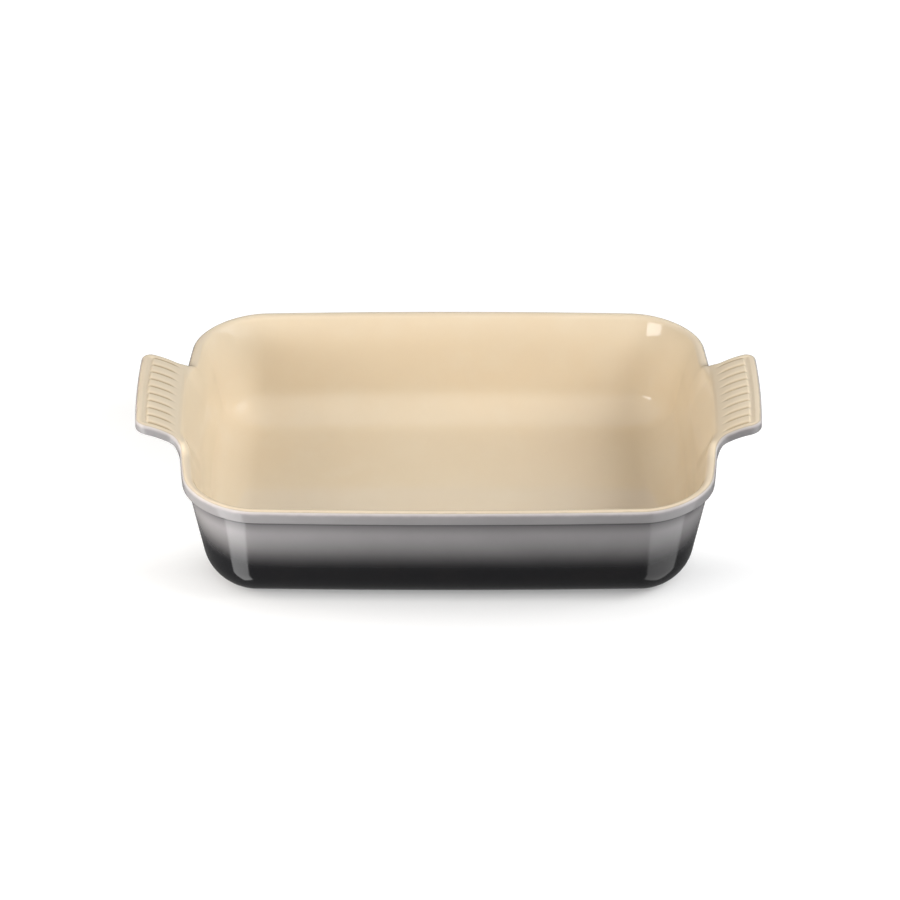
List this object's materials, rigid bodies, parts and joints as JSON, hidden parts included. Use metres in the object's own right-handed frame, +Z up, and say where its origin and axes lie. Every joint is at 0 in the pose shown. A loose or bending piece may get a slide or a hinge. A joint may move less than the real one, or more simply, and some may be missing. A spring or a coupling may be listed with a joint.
{
  "type": "gratin dish",
  "caption": "Rectangular glazed stoneware gratin dish, cream inside and grey shading to black outside, with a collared rim and upswept ridged lug handles at the ends.",
  "frame": {"origin": "middle of the foot, on the plane the dish rests on", "axes": "+X along the length towards the right handle, +Y from front to back, +Z up out of the dish"},
  "size_m": [0.3844, 0.2378, 0.0893],
  "materials": {
    "stoneware": "bare fired clay, fine and matt",
    "cream_glaze": "gloss cream glaze",
    "grey_glaze": "gloss grey glaze, pale at the collar and near black at the base",
    "dark_glaze": "gloss near-black glaze"
  },
  "bodies": {
    "root": {"stoneware_body": "stoneware", "handle_left": "stoneware", "handle_right": "stoneware", "interior_glaze": "cream_glaze", "exterior_glaze": "grey_glaze", "underside_glaze": "dark_glaze"}
  },
  "joints": []
}
